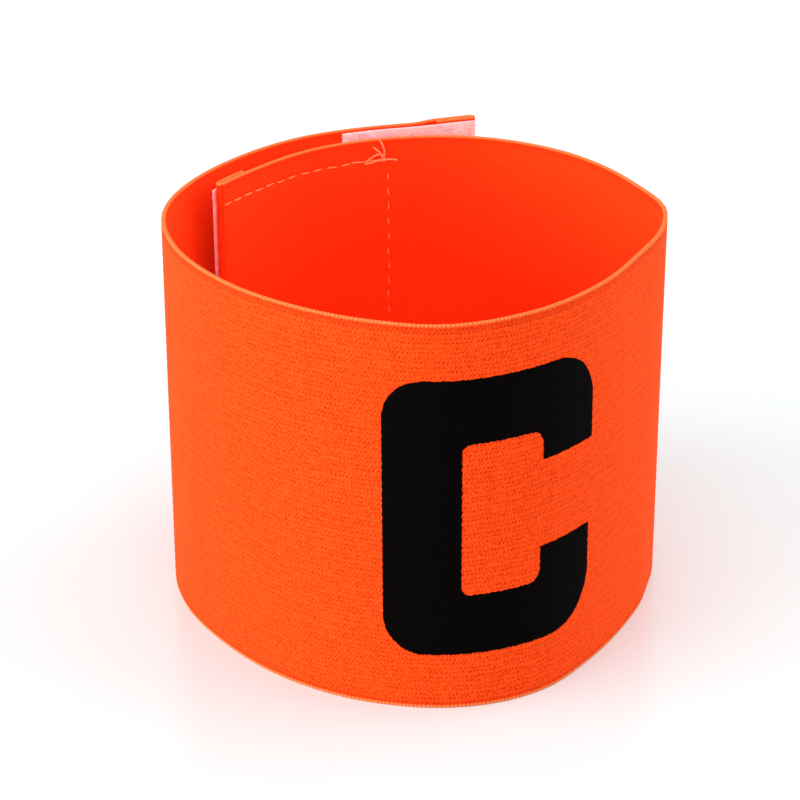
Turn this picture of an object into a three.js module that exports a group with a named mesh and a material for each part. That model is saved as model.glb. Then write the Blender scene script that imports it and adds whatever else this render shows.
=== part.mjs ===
// A captain's armband, standing on its lower edge as it does when it is taken off.
// It is one strip of knitted elastic, wound once round and a little over itself. Each cut
// end is folded back as a hem, and a fastening tape is sewn over the fold: the loop tape on
// the outer face of the inner end, the hook tape on the inner face of the flap. A plain
// block letter is printed on the middle of the strip.
// Lengths are in millimetres and +Z is up. The strip runs clockwise, seen from above, from
// its inner end at the back left, by the right side and the front, to the flap at the back.
import * as THREE from "three";
import { TessellateModifier } from "three/addons/modifiers/TessellateModifier.js";

// The elastic strip.
const BAND_HEIGHT = 70; // width of the strip, so the height of the armband
const CLOTH = 0.8; // one layer of elastic
const LOOP_RADIUS = 44; // mean radius of the loop
const HEM_LENGTH = 7.5; // how far each cut end is folded back
const HEM_SLIT = 0.2; // air between the two layers of a hem
const HEM_RAMP = 5; // length over which a layer or a tape climbs over a hem

// The fastening tapes.
const SEAT_GAP = 0.2; // air between a sewn or printed piece and the cloth under it
const LOOP_TAPE_LENGTH = 40.5; // from the end of the strip
const LOOP_TAPE_THICKNESS = 1.4; // backing and pile
const LOOP_TAPE_MARGIN = 1.5; // below the upper edge and above the lower edge of the strip
const LOOP_TAPE_OVERHANG = 0.2; // past the fold of the hem
const HOOK_TAPE_LENGTH = 26.4; // from the end of the flap
const HOOK_TAPE_THICKNESS = 1.4; // backing and hooks
const HOOK_TAPE_MARGIN = 0.3; // nearly flush with both edges of the strip

// How the flap lies over the inner end.
const LAP_CLEARANCE = 2.3; // free air outside the loop tape where the lap begins
const FLAP_LIFT = 5.8; // how much further the free end of the flap stands off

// The printed letter.
const LETTER_MARGIN = 10; // bare cloth above and below the letter
const LETTER_THICKNESS = 0.3; // the printed film

// The loop's plan, from the inner end once round: compass bearing in degrees, counted
// anticlockwise from +X, and reach from the loop's centre as a share of LOOP_RADIUS.
const RING = [
  { bearing: 150.8, reach: 0.895 },
  { bearing: 135, reach: 0.907 },
  { bearing: 115, reach: 0.962 },
  { bearing: 95, reach: 1.006 },
  { bearing: 75, reach: 1.044 },
  { bearing: 55, reach: 1.031 },
  { bearing: 38, reach: 1.006 },
  { bearing: 24, reach: 0.991 },
  { bearing: 9, reach: 1.0 },
  { bearing: -7, reach: 0.955 },
  { bearing: -25, reach: 0.923 },
  { bearing: -45, reach: 0.953 },
  { bearing: -65, reach: 1.023 },
  { bearing: -83, reach: 1.048 },
  { bearing: -101, reach: 1.007 },
  { bearing: -121, reach: 0.96 },
  { bearing: -145, reach: 0.935 },
  { bearing: -165, reach: 0.956 },
  { bearing: -186, reach: 0.998 },
];

// The lap, where the strip passes over its inner end: lift is the share of FLAP_LIFT that
// the strip stands off beyond the layers that have to fit under it.
const LAP = [
  { bearing: -208, lift: 0 },
  { bearing: -226, lift: 0.17 },
  { bearing: -245, lift: 0.22 },
  { bearing: -260, lift: 0.26 },
  { bearing: -272, lift: 0.43 },
  { bearing: -281.8, lift: 1 },
];

// The block letter's sizes, as shares of its height.
const GLYPH = {
  width: 0.8,
  stem: 0.26, // upright stroke
  arm: 0.222, // top and bottom strokes
  jaw: 0.342, // each arm's end, from the letter's top or bottom to the mouth
  jawWidth: 0.246,
  stemCorner: 0.14, // outer corner radius at the stem
  jawCorner: 0.19, // outer corner radius at the jaws
  stemCounter: 0.03, // radius inside the counter, at the stem
  jawCounter: 0.05, // radius inside the counter, at the jaws
};

// Fineness of the facets.
const PLAN_STEP = 2.5; // facet length along the strip
const RAMP_STEPS = 4; // facets where a layer climbs over a hem
const FOLD_STEPS = 8; // facets round a hem's fold
const CORNER_STEPS = 8; // facets round a corner of the letter
const LETTER_STEP = 5; // longest facet edge on the letter
const LETTER_PASSES = 16; // rounds of splitting that it may take to get there
const SPINE_POINTS = 2400; // points of the fine line that lengths are measured on

const foldRadius = (CLOTH + HEM_SLIT) / 2; // middle of the cloth, round a hem's fold
const hemOffset = 2 * foldRadius; // from one layer of a hem to the other

// Space from the middle of the inner end's cloth to the middle of the flap's cloth.
const lapSpace =
  CLOTH / 2 + HEM_SLIT + CLOTH + SEAT_GAP + LOOP_TAPE_THICKNESS + LAP_CLEARANCE + CLOTH / 2;

const radians = (degrees) => (degrees * Math.PI) / 180;
const smooth = (x) => THREE.MathUtils.smoothstep(x, 0, 1);

// Reach of the ring at a bearing, in millimetres, between two rows of RING.
function ringReach(bearing) {
  const next = RING.findIndex((row) => row.bearing <= bearing);
  const [a, b] = [RING[Math.max(next - 1, 0)], RING[Math.max(next, 1)]];
  const share = (bearing - a.bearing) / (b.bearing - a.bearing);
  return LOOP_RADIUS * THREE.MathUtils.lerp(a.reach, b.reach, share);
}

// The middle of the cloth in plan, as a fine line whose lengths are known.
function makeSpine() {
  const ring = RING.map(({ bearing, reach }) => new THREE.Vector2(bearing, LOOP_RADIUS * reach));
  const lap = LAP.map(
    ({ bearing, lift }) =>
      new THREE.Vector2(bearing, ringReach(bearing + 360) + lapSpace + lift * FLAP_LIFT),
  );
  const polar = new THREE.SplineCurve([...ring, ...lap]);
  const points = [];
  for (let i = 0; i <= SPINE_POINTS; i++) {
    const { x: bearing, y: reach } = polar.getPoint(i / SPINE_POINTS);
    const angle = radians(bearing);
    points.push(new THREE.Vector2(reach * Math.cos(angle), reach * Math.sin(angle)));
  }
  const lengths = [0];
  for (let i = 1; i < points.length; i++)
    lengths.push(lengths[i - 1] + points[i].distanceTo(points[i - 1]));
  return { points, lengths, length: lengths.at(-1) };
}

const spine = makeSpine();

// The plan point at a distance along the strip, moved outward by offset. Past either end
// the strip's line goes straight on.
function planPoint(along, offset) {
  const { points, lengths } = spine;
  const inside = THREE.MathUtils.clamp(along, 0, spine.length);
  let k = lengths.findIndex((l) => l >= inside);
  k = THREE.MathUtils.clamp(k, 1, points.length - 1);
  const share = (along - lengths[k - 1]) / (lengths[k] - lengths[k - 1]);
  const tangent = points[k].clone().sub(points[k - 1]).normalize();
  const outward = new THREE.Vector2(-tangent.y, tangent.x);
  return points[k - 1].clone().lerp(points[k], share).addScaledVector(outward, offset);
}

// Stations from one distance along the strip to another, both ends included.
function stations(from, to, step = PLAN_STEP) {
  const count = Math.max(1, Math.ceil(Math.abs(to - from) / step));
  return Array.from({ length: count + 1 }, (_, i) => from + ((to - from) * i) / count);
}

// The closed outline of a line of plan points given a thickness, half to each side.
function thicken(line, thickness) {
  const sides = [[], []];
  line.forEach((point, i) => {
    const back = point.clone().sub(line[Math.max(i - 1, 0)]).normalize();
    const ahead = line[Math.min(i + 1, line.length - 1)].clone().sub(point).normalize();
    const tangent = back.clone().add(ahead).normalize();
    const normal = new THREE.Vector2(-tangent.y, tangent.x);
    const turn = i > 0 && i < line.length - 1 ? Math.sqrt((1 + back.dot(ahead)) / 2) : 1;
    const reach = thickness / 2 / turn;
    sides[0].push(point.clone().addScaledVector(normal, reach));
    sides[1].push(point.clone().addScaledVector(normal, -reach));
  });
  return new THREE.Shape([...sides[0], ...sides[1].reverse()]);
}

// An upright wall with that outline in plan.
function wall(outline, low, high) {
  const geometry = new THREE.ExtrudeGeometry(outline, { depth: high - low, bevelEnabled: false });
  return geometry.translate(0, 0, low);
}

// The half turn of a hem's fold, from its outer layer to its inner one: centre is its
// distance along the strip, and side is -1 at the strip's start and 1 at its end.
function fold(centre, side) {
  return Array.from({ length: FOLD_STEPS - 1 }, (_, i) => {
    const angle = (Math.PI * (i + 1)) / FOLD_STEPS;
    const along = centre + side * foldRadius * Math.sin(angle);
    return planPoint(along, foldRadius * (1 + Math.cos(angle)));
  });
}

// The strip: the inner hem, which lies outside, once round, and the flap's hem, which lies
// inside, so that the flap's main layer climbs over it.
function makeBand() {
  const end = spine.length;
  const flapHem = end - HEM_LENGTH;
  const line = [
    ...stations(HEM_LENGTH, foldRadius).map((s) => planPoint(s, hemOffset)),
    ...fold(foldRadius, -1),
    ...stations(foldRadius, flapHem - HEM_RAMP).map((s) => planPoint(s, 0)),
    ...stations(flapHem - HEM_RAMP, flapHem, HEM_RAMP / RAMP_STEPS)
      .slice(1)
      .map((s) => planPoint(s, hemOffset * smooth(1 - (flapHem - s) / HEM_RAMP))),
    ...stations(flapHem, end - foldRadius).slice(1).map((s) => planPoint(s, hemOffset)),
    ...fold(end - foldRadius, 1),
    ...stations(end - foldRadius, flapHem).map((s) => planPoint(s, 0)),
  ];
  return wall(thicken(line, CLOTH), 0, BAND_HEIGHT);
}

// The loop tape lies over the inner hem and comes down onto the single layer behind it.
function makeLoopTape() {
  const onCloth = CLOTH / 2 + SEAT_GAP + LOOP_TAPE_THICKNESS / 2;
  const top = HEM_LENGTH + SEAT_GAP;
  const line = stations(-LOOP_TAPE_OVERHANG, LOOP_TAPE_LENGTH, HEM_RAMP / RAMP_STEPS).map((s) =>
    planPoint(s, onCloth + hemOffset * smooth(1 - (s - top) / HEM_RAMP)),
  );
  const outline = thicken(line, LOOP_TAPE_THICKNESS);
  return wall(outline, LOOP_TAPE_MARGIN, BAND_HEIGHT - LOOP_TAPE_MARGIN);
}

// The hook tape lies on the inner face of the flap, over the hem's inner layer.
function makeHookTape() {
  const inside = -(CLOTH / 2 + SEAT_GAP + HOOK_TAPE_THICKNESS / 2);
  const line = stations(spine.length - HOOK_TAPE_LENGTH, spine.length).map((s) =>
    planPoint(s, inside),
  );
  const outline = thicken(line, HOOK_TAPE_THICKNESS);
  return wall(outline, HOOK_TAPE_MARGIN, BAND_HEIGHT - HOOK_TAPE_MARGIN);
}

// The block letter, upright, with its middle at the origin.
function letterOutline(height) {
  const size = Object.fromEntries(Object.entries(GLYPH).map(([k, share]) => [k, share * height]));
  const [left, right, top] = [-size.width / 2, size.width / 2, height / 2];
  const bottom = -top;
  const counter = {
    left: left + size.stem,
    right: right - size.jawWidth,
    top: top - size.arm,
    bottom: bottom + size.arm,
  };
  const mouth = { top: top - size.jaw, bottom: bottom + size.jaw };
  const quarter = Math.PI / 2;
  const shape = new THREE.Shape();
  // A rounded corner whose centre is inset from it: start is the first angle, in quarter turns.
  const corner = (x, y, radius, start, clockwise) =>
    shape.absarc(x, y, radius, start * quarter, (start + (clockwise ? -1 : 1)) * quarter, clockwise);
  shape.moveTo(counter.right, mouth.top);
  shape.lineTo(right, mouth.top);
  corner(right - size.jawCorner, top - size.jawCorner, size.jawCorner, 0, false);
  corner(left + size.stemCorner, top - size.stemCorner, size.stemCorner, 1, false);
  corner(left + size.stemCorner, bottom + size.stemCorner, size.stemCorner, 2, false);
  corner(right - size.jawCorner, bottom + size.jawCorner, size.jawCorner, 3, false);
  shape.lineTo(right, mouth.bottom);
  shape.lineTo(counter.right, mouth.bottom);
  const [near, far] = [size.stemCounter, size.jawCounter];
  corner(counter.right - far, counter.bottom + far, far, 4, true);
  corner(counter.left + near, counter.bottom + near, near, 3, true);
  corner(counter.left + near, counter.top - near, near, 2, true);
  corner(counter.right - far, counter.top - far, far, 1, true);
  return shape;
}

// The printed letter: cut flat, then bent onto the outer face at the middle of the strip.
function makeLetter() {
  const shape = letterOutline(BAND_HEIGHT - 2 * LETTER_MARGIN);
  const film = new THREE.ExtrudeGeometry(shape, {
    depth: LETTER_THICKNESS,
    bevelEnabled: false,
    curveSegments: CORNER_STEPS,
  });
  const fine = new TessellateModifier(LETTER_STEP, LETTER_PASSES).modify(film);
  const position = fine.getAttribute("position");
  const corner = new THREE.Vector3();
  for (let i = 0; i < position.count; i++) {
    corner.fromBufferAttribute(position, i);
    const { x, y } = planPoint(spine.length / 2 - corner.x, CLOTH / 2 + SEAT_GAP + corner.z);
    position.setXYZ(i, x, y, BAND_HEIGHT / 2 + corner.y);
  }
  fine.computeVertexNormals();
  return fine;
}

const elastic = new THREE.MeshStandardMaterial({ color: 0xff5a1f, roughness: 0.85, metalness: 0 });
const pileTape = new THREE.MeshStandardMaterial({ color: 0xf58478, roughness: 0.95, metalness: 0 });
const hookTape = new THREE.MeshStandardMaterial({ color: 0xf99e9a, roughness: 0.6, metalness: 0 });
const print = new THREE.MeshStandardMaterial({ color: 0x0b0808, roughness: 0.7, metalness: 0 });

const armband = new THREE.Group();
for (const [name, geometry, material] of [
  ["elastic_band", makeBand(), elastic],
  ["loop_tape", makeLoopTape(), pileTape],
  ["hook_tape", makeHookTape(), hookTape],
  ["captain_letter", makeLetter(), print],
]) {
  const mesh = new THREE.Mesh(geometry, material);
  mesh.name = name;
  armband.add(mesh);
}

// The origin is under the middle of the whole armband, on the surface that it stands on.
const box = new THREE.Box3().setFromObject(armband);
const middle = box.getCenter(new THREE.Vector3());
armband.position.set(-middle.x, -middle.y, -box.min.z);

export default armband;
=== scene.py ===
# %% [markdown]
# # A captain's armband in ribbed elastic
#
# The armband is one strip of knitted elastic, 70 mm wide and about 35 cm long. It stands on
# its lower edge as it does when somebody has just taken it off: wound once round, with the
# hook tape of its free end laid loosely over the loop tape of its inner end.
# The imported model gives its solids, its place and its size. This script gives it its cloth:
# the ribs, the hems, the seams, the hooks and the pile, the print and the light.

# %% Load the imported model
import math

import bpy
import numpy as np
from mathutils import Matrix, Vector


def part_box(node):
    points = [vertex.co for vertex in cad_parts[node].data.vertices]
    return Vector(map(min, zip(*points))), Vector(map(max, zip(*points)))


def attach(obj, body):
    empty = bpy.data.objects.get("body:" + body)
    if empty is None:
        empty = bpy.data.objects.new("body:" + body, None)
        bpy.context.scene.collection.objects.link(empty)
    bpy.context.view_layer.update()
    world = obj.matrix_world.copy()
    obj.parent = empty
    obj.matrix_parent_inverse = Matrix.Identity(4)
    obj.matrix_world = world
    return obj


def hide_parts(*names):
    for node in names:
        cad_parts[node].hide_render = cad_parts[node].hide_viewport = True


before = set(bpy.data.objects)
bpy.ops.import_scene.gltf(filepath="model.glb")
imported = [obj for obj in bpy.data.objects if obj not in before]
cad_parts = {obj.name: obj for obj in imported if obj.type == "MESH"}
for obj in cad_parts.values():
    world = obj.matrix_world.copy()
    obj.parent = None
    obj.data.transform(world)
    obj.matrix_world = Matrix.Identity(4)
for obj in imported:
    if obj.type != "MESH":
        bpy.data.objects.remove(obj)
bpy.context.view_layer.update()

# %% [markdown]
# ## The camera
#
# A product photograph is taken from a little way off with a long lens, so that the near and
# the far side of the loop keep nearly the same size. Here the lens is 123 mm on a 36 mm
# sensor, half a metre away and 24.5 degrees above the horizon. It comes first, because
# everything after it is judged through it.

# %% Place the camera
MM = 0.001
TARGET = Vector((-2.43, -4.23, 35.5)) * MM
DISTANCE = 486.8 * MM
ELEVATION = math.radians(24.5)
ROLL = math.radians(-0.32)

camera = bpy.data.objects.new("camera", bpy.data.cameras.new("camera"))
bpy.context.scene.collection.objects.link(camera)
camera.data.sensor_width = 36.0
camera.data.lens = 122.9
camera.data.clip_start = 0.01
tilt = Matrix.Rotation(math.pi / 2 - ELEVATION, 4, "X") @ Matrix.Rotation(ROLL, 4, "Z")
back = Vector((0.0, -math.cos(ELEVATION), math.sin(ELEVATION)))
camera.matrix_world = Matrix.Translation(TARGET + back * DISTANCE) @ tilt
bpy.context.scene.camera = camera
print("camera at", tuple(round(x, 3) for x in camera.location))

# %% [markdown]
# ## The line of the strip
#
# Seen from above, the strip is a line that goes once round clockwise and then runs on
# outside its own beginning. Nobody laid it out with a compass: it bulges at the back, the
# right and the front, and is a little flat in between. A short table of bearings and
# reaches holds that, and a smooth curve through the rows gives the rest. A length along
# this line then says where something is on the cloth.

# %% The strip's sizes, in millimetres
BAND_HEIGHT = 70.0
CLOTH = 0.8
LOOP_RADIUS = 44.0
HEM_LENGTH, HEM_SLIT, HEM_RAMP = 7.5, 0.2, 5.0
SEAT_GAP = 0.2
LOOP_TAPE_LENGTH, LOOP_TAPE_THICKNESS, LOOP_TAPE_MARGIN, LOOP_TAPE_OVERHANG = 40.5, 1.4, 1.5, 0.2
HOOK_TAPE_LENGTH, HOOK_TAPE_MARGIN = 26.4, 0.3
LAP_CLEARANCE, FLAP_LIFT = 2.3, 5.8
LETTER_MARGIN = 10.0

FOLD_RADIUS = (CLOTH + HEM_SLIT) / 2
HEM_OFFSET = 2 * FOLD_RADIUS
LAP_SPACE = 2 * CLOTH + HEM_SLIT + SEAT_GAP + LOOP_TAPE_THICKNESS + LAP_CLEARANCE
print(f"the lap lies {LAP_SPACE:.1f} mm outside the strip's beginning")

# bearing in degrees, reach as a share of LOOP_RADIUS
RING = np.array([
    (150.8, 0.895), (135, 0.907), (115, 0.962), (95, 1.006), (75, 1.044), (55, 1.031),
    (38, 1.006), (24, 0.991), (9, 1.0), (-7, 0.955), (-25, 0.923), (-45, 0.953),
    (-65, 1.023), (-83, 1.048), (-101, 1.007), (-121, 0.96), (-145, 0.935), (-165, 0.956),
    (-186, 0.998),
])
# bearing in degrees, lift as a share of FLAP_LIFT
LAP = np.array([
    (-208, 0.0), (-226, 0.17), (-245, 0.22), (-260, 0.26), (-272, 0.43), (-281.8, 1.0),
])


# %% The smooth line and its lengths
def smooth_curve(rows, count):
    """A Catmull-Rom curve: between two rows, the cubic that passes through both with the
    slope of the chord from the row before to the row after."""
    place = np.linspace(0, len(rows) - 1, count)
    i = np.minimum(place.astype(int), len(rows) - 2)
    w = (place - i)[:, None]
    p = [rows[np.clip(i + k, 0, len(rows) - 1)] for k in (-1, 0, 1, 2)]
    slope_in, slope_out = (p[2] - p[0]) / 2, (p[3] - p[1]) / 2
    cubic = 2 * (p[1] - p[2]) + slope_in + slope_out
    square = 3 * (p[2] - p[1]) - 2 * slope_in - slope_out
    return p[1] + slope_in * w + square * w**2 + cubic * w**3


ring = np.column_stack([RING[:, 0], RING[:, 1] * LOOP_RADIUS])
under = np.interp(-(LAP[:, 0] + 360), -ring[:, 0], ring[:, 1])
lap = np.column_stack([LAP[:, 0], under + LAP_SPACE + LAP[:, 1] * FLAP_LIFT])
bearing, reach = smooth_curve(np.vstack([ring, lap]), 2401).T
spine = np.column_stack([reach * np.cos(np.radians(bearing)), reach * np.sin(np.radians(bearing))])
lengths = np.r_[0, np.cumsum(np.linalg.norm(np.diff(spine, axis=0), axis=1))]
STRIP_END = lengths[-1]
print(f"the strip's line is {STRIP_END:.1f} mm long from fold to fold")

# %% [markdown]
# ## Places on the cloth
#
# Everything sewn or printed on the strip is easiest to lay out on the flat: so far along
# it, so high, and so far out from the middle of the cloth. One function bends those three
# numbers round the line. It also adds the slow unevenness that cloth has, so whatever is
# laid on the strip follows it.


# %% Bend flat places round the line
# bearing and width in degrees, then how far the upper edge leans out there and how far the
# foot does, in millimetres
LEANS = np.array([
    (-5, 10, 0.3, -0.5), (-62, 13, -0.45, 0.4), (-86, 10, 0.35, -0.25), (-145, 25, 0.2, -0.3),
    (-200, 16, 0.0, 0.7),
])
RIPPLE, RIPPLE_LENGTH = 0.05, 6.1  # millimetres outward, and along for each radian


def unevenness(along, up):
    """Outward millimetres: the leans, each a bell curve round its bearing and even in
    between its two edges, and a slow ripple that is strongest at the edges."""
    share = np.asarray(up) / BAND_HEIGHT
    here = np.interp(np.clip(along, 0, STRIP_END), lengths, bearing)
    at_edges = 0.2 + 2 * np.abs(share - 0.5)
    ripple = RIPPLE * at_edges * np.sin(np.asarray(along) / RIPPLE_LENGTH + 2 * share)
    for place, width, top, foot in LEANS:
        bell = np.exp(-(((here - place) / width) ** 2))
        ripple = ripple + bell * (top * share + foot * (1 - share))
    return ripple


def plan_frame(along):
    """The plan point and the outward direction at a length along the line, which goes on
    straight past both of its ends."""
    inside = np.clip(along, 0, STRIP_END)
    slopes = np.gradient(spine, lengths, axis=0)
    point = np.stack([np.interp(inside, lengths, spine[:, k]) for k in (0, 1)], -1)
    slope = np.stack([np.interp(inside, lengths, slopes[:, k]) for k in (0, 1)], -1)
    slope /= np.linalg.norm(slope, axis=-1, keepdims=True)
    point += slope * (along - inside)[..., None]
    return point, np.stack([-slope[..., 1], slope[..., 0]], -1)


def on_cloth(along, up, out):
    """Where a place on the strip is in the model, in millimetres: the line's point, moved
    outward by out and the unevenness, at height up."""
    along, up, out = np.broadcast_arrays(along, up, out)
    point, outward = plan_frame(along)
    plan = point + outward * (out + unevenness(along, up))[..., None] + shift
    return np.concatenate([plan, up[..., None]], -1)


shift = np.zeros(2)
lo, hi = (np.array(corner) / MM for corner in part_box("elastic_band"))
around = np.linspace(0, STRIP_END, 600)
walls = np.concatenate([on_cloth(around, 0.0, w)[:, :2] for w in (-CLOTH / 2, CLOTH / 2)])
tip = on_cloth(STRIP_END - FOLD_RADIUS, 0.0, HEM_OFFSET + CLOTH / 2)[None, :2]
walls = np.vstack([walls, tip])
shift = (lo[:2] + hi[:2]) / 2 - (walls.min(0) + walls.max(0)) / 2
print("the line is moved by", shift.round(2), "mm to lie in the packed strip")

# %% [markdown]
# ## Meshes from arrays
#
# A surface is a grid of points, so a mesh is two arrays: the points, and which four of them
# make each face. These few lines put such arrays into Blender. A named field goes along
# with the points, for a material to read later.


# %% Put a grid of points into a mesh
def grid_faces(rows, columns, start=0, around=False):
    """Four corners to each cell of a grid; around joins the last column to the first."""
    index = start + np.arange(rows * columns).reshape(rows, columns)
    if around:
        index = np.column_stack([index, index[:, :1]])
    cells = [index[:-1, :-1], index[:-1, 1:], index[1:, 1:], index[1:, :-1]]
    return np.stack(cells, -1).reshape(-1, 4)


def add_piece(name, points, faces, fields=None, crease=40):
    """A mesh object from millimetre points and a list of face arrays, smooth but for edges
    sharper than crease degrees."""
    corners = np.concatenate([f.ravel() for f in faces])
    sizes = np.concatenate([np.full(len(f), f.shape[1]) for f in faces])
    mesh = bpy.data.meshes.new(name)
    mesh.vertices.add(len(points))
    mesh.vertices.foreach_set("co", (points * MM).astype(np.float32).ravel())
    mesh.loops.add(len(corners))
    mesh.loops.foreach_set("vertex_index", corners.astype(np.int32))
    mesh.polygons.add(len(sizes))
    mesh.polygons.foreach_set("loop_start", np.r_[0, np.cumsum(sizes)[:-1]].astype(np.int32))
    mesh.update(calc_edges=True)
    for field, values in (fields or {}).items():
        layer = mesh.attributes.new(field, "FLOAT_VECTOR", "POINT")
        layer.data.foreach_set("vector", np.asarray(values, np.float32).ravel())
    mesh.shade_smooth()
    mesh.set_sharp_from_angle(angle=math.radians(crease))
    piece = bpy.data.objects.new(name, mesh)
    bpy.context.scene.collection.objects.link(piece)
    print(f"{name}: {len(points)} points, {len(sizes)} faces")
    return piece


# %% [markdown]
# ## The seams
#
# Each tape is sewn down with one line of stitches all round. The thread pulls the cloth in,
# so there is a shallow groove wherever it runs. The seams are named here once: the cloth
# sinks along them, and the threads are laid in them later.

# %% Where the seams run
# along the strip to the two columns of each seam, and up it to the two rows
LOOP_SEAM = (0.4, 39.8)
HOOK_SEAM = (STRIP_END - HOOK_TAPE_LENGTH + 1.5, STRIP_END - 1.5)
LOOP_LEVELS = (4.3, BAND_HEIGHT - 4.3)
HOOK_LEVELS = (5.6, BAND_HEIGHT - 5.6)
GROOVE_DEPTH, GROOVE_WIDTH = 0.12, 0.4
FAR_OFF = 9.0  # millimetres from a seam, where its groove has long ended


def seam_groove(along, up):
    """Depth of the groove: a bell curve over the distance to the nearest seam line."""
    nearest = np.full(np.broadcast(along, up).shape, FAR_OFF)
    for (start, end), (low, high) in ((LOOP_SEAM, LOOP_LEVELS), (HOOK_SEAM, HOOK_LEVELS)):
        beside = np.maximum(np.maximum(start - along, along - end), 0)
        beyond = np.maximum(np.maximum(low - up, up - high), 0)
        to_row = np.minimum(abs(up - low), abs(up - high))
        to_column = np.minimum(abs(along - start), abs(along - end))
        nearest = np.minimum(nearest, np.hypot(to_row, beside))
        nearest = np.minimum(nearest, np.hypot(to_column, beyond))
    return GROOVE_DEPTH * np.exp(-((nearest / GROOVE_WIDTH) ** 2))


print("seam rows at", LOOP_LEVELS, "mm, columns at", LOOP_SEAM, np.round(HOOK_SEAM, 1))

# %% [markdown]
# ## The elastic strip
#
# Knitted elastic has rubber threads running along it, and the yarn that is knitted round
# them stands up in ribs. They are real relief, 42 ribs over the height, so they are in the
# mesh and catch the light along the edges. The strip's section is walked round once, up the
# outer face and down the inner one, and that outline is carried along the line, through the
# fold of each hem. It could also be a plane with Solidify, but then the two faces couldn't
# each have their own ribs and rounded edges.

# %% The section of the strip
RIBS = 42
RIB_PITCH = BAND_HEIGHT / RIBS
RIB_RELIEF = 0.035
ROWS_PER_RIB = 6
EDGE_ROUND = 0.3


def rib_valley(up):
    """0 on a rib's crest and 1 between two ribs: the root of a raised cosine, so the valleys
    are wide and the crests narrow."""
    return (0.5 - 0.5 * np.cos(2 * np.pi * up / RIB_PITCH)) ** 0.5


def half_section():
    """Half thickness and height from the middle of the lower edge to the middle of the
    upper one: a quarter circle, the rows of the ribs, and a quarter circle."""
    turn = np.radians(np.linspace(0, 90, 5))
    flat = CLOTH / 2 - EDGE_ROUND
    lower = np.column_stack([flat + EDGE_ROUND * np.sin(turn), EDGE_ROUND * (1 - np.cos(turn))])
    up = np.arange(1, RIBS * ROWS_PER_RIB) * RIB_PITCH / ROWS_PER_RIB
    up = up[(up > 1.2 * EDGE_ROUND) & (up < BAND_HEIGHT - 1.2 * EDGE_ROUND)]
    middle = np.column_stack([np.full(len(up), CLOTH / 2), up])
    upper = (lower * (1, -1) + (0, BAND_HEIGHT))[::-1]
    return np.vstack([lower, middle, upper])


print(2 * len(half_section()), "points round the strip's section")

# %% The stations along the strip
FOLD_STEP, HEM_STEP, ROUND_STEP = 0.35, 0.85, 3.0  # close at the folds, wide round the loop


def spread(start, end, step):
    """Even places from start to end, about a step apart."""
    return np.linspace(start, end, max(2, round(abs(end - start) / step) + 1))


def climb(along, over):
    """How far a layer has climbed over a hem: 0 before, HEM_OFFSET from over onwards, with
    a smooth step of HEM_RAMP between."""
    share = np.clip(1 - (over - along) / HEM_RAMP, 0, 1)
    return HEM_OFFSET * share**2 * (3 - 2 * share)


FLAP_HEM = STRIP_END - HEM_LENGTH
half_turn = np.radians(np.linspace(0, 180, 11))[1:-1]
fold_along, fold_out = FOLD_RADIUS * np.sin(half_turn), FOLD_RADIUS * (1 + np.cos(half_turn))
across_groove = FOLD_STEP * np.arange(-2, 3)
seam_columns = [column + across_groove for column in (LOOP_SEAM[1], HOOK_SEAM[0])]
run = np.concatenate([
    spread(FOLD_RADIUS, 2.6, FOLD_STEP), spread(3.2, FLAP_HEM - HEM_RAMP, ROUND_STEP),
    spread(FLAP_HEM - HEM_RAMP + 1, FLAP_HEM, 1.0), spread(FLAP_HEM + 1.2, STRIP_END - 2.9, 1.2),
    spread(STRIP_END - 2.3, STRIP_END - FOLD_RADIUS, FOLD_STEP), *seam_columns,
])
run = np.unique(run.round(3))
run = run[np.r_[True, np.diff(run) > 0.2]]
hem_steps = spread(HEM_LENGTH, FOLD_RADIUS, HEM_STEP)
layers = [
    (hem_steps, np.full(len(hem_steps), HEM_OFFSET)),
    (FOLD_RADIUS - fold_along, fold_out),
    (run, climb(run, FLAP_HEM)),
    (STRIP_END - FOLD_RADIUS + fold_along, fold_out),
    (STRIP_END - hem_steps[::-1], np.zeros(len(hem_steps))),
]
station_along, station_out = (np.concatenate([layer[k] for layer in layers]) for k in (0, 1))
print(len(station_along), "stations along the strip")


# %% Carry the section along the line
def strip_piece():
    """The strip: every station's frame is the direction to its neighbours, turned a quarter
    turn, so the section turns over with the cloth at each fold."""
    middle, outward = plan_frame(station_along)
    line = middle + outward * station_out[:, None]
    ahead = np.gradient(line, axis=0)
    ahead /= np.linalg.norm(ahead, axis=1, keepdims=True)
    normal = np.column_stack([-ahead[:, 1], ahead[:, 0]])
    knitted = np.r_[0, np.cumsum(np.linalg.norm(np.diff(line, axis=0), axis=1))]

    half, up = half_section().T
    along = station_along[:, None]
    depth = RIB_RELIEF * rib_valley(up) + seam_groove(along, up)
    thickness = np.maximum(half - depth * (half > CLOTH / 2 - 0.01), 0.1)
    across = np.hstack([thickness, -thickness[:, ::-1]])
    level = np.r_[up, up[::-1]]
    uneven = unevenness(along, level)
    plan = line[:, None] + normal[:, None] * across[..., None]
    plan += outward[:, None] * uneven[..., None] + shift
    grid = np.concatenate([plan, np.broadcast_to(level, uneven.shape)[..., None]], -1)

    stations, points = uneven.shape
    faces = [grid_faces(stations, points, around=True)]
    near = np.arange(points // 2 - 1)
    cap = np.column_stack([near, near + 1, points - 2 - near, points - 1 - near])
    faces += [cap[:, ::-1], cap + (stations - 1) * points]
    side = np.r_[np.ones(len(up)), -np.ones(len(up))]
    knit = np.broadcast_arrays(knitted[:, None], level, side)
    fields = {"knit": np.stack(knit, -1)}
    return grid.reshape(-1, 3), faces, fields, knitted[-1]


points, faces, fields, cloth_length = strip_piece()
band = add_piece("ribbed_elastic_band", points, faces, fields, crease=60)
print(f"the cloth is {cloth_length:.0f} mm long with its hems")

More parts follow.
